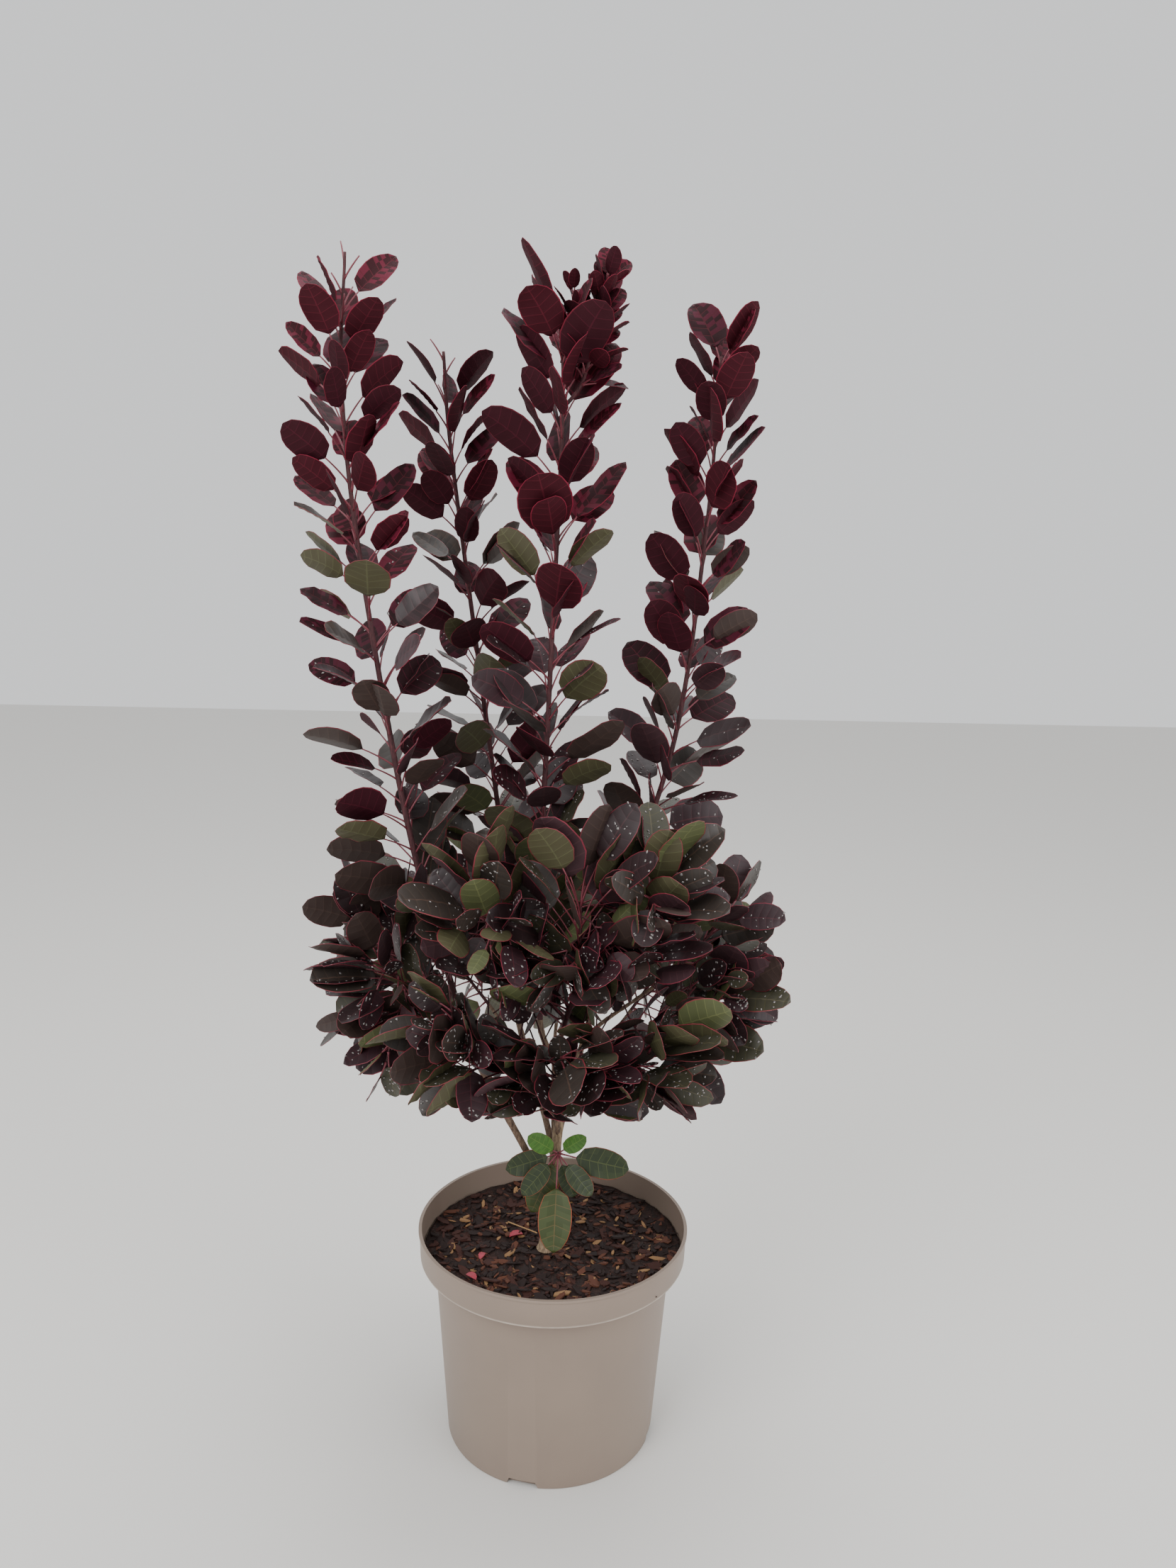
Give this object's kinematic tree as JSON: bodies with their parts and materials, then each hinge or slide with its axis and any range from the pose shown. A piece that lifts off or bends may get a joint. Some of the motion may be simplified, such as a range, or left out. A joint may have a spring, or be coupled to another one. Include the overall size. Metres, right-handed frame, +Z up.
{
  "type": "potted purple smoke bush",
  "caption": "Upright deciduous shrub with oval dark purple leaves on tall thin shoots over a dense low skirt, growing in a round nursery pot filled with bark compost.",
  "frame": {"origin": "middle of the pot's flat underside, where it meets the surface it stands on", "axes": "+Z up, -Y towards the viewer of the front, +X to the right of the front view"},
  "size_m": [0.5019, 0.4365, 1.2346],
  "materials": {
    "pot": "satin",
    "soil": "rough",
    "trunk_bark": "rough",
    "bough_bark": "rough",
    "leaves": "matte",
    "young_leaves": "matte"
  },
  "bodies": {
    "root": {"pot": "pot", "soil": "soil", "trunk": "trunk_bark", "bough_tall_left": "bough_bark", "bough_tall_back_left": "bough_bark", "bough_tall_centre": "bough_bark", "bough_tall_right": "bough_bark", "bough_front": "bough_bark", "bough_low_left": "bough_bark", "bough_mid_left": "bough_bark", "bough_low_front": "bough_bark", "bough_low_right": "bough_bark", "bough_mid_right": "bough_bark", "bough_low_back_left": "bough_bark", "bough_low_back": "bough_bark", "bough_low_back_right": "bough_bark", "leaves_tall_left": "leaves", "leaves_tall_back_left": "leaves", "leaves_tall_centre": "leaves", "leaves_tall_right": "leaves", "leaves_front": "leaves", "leaves_low_left": "leaves", "leaves_mid_left": "leaves", "leaves_low_front": "leaves", "leaves_low_right": "leaves", "leaves_mid_right": "leaves", "leaves_low_back_left": "leaves", "leaves_low_back": "leaves", "leaves_low_back_right": "leaves", "leaves_sprout": "young_leaves"}
  },
  "joints": []
}
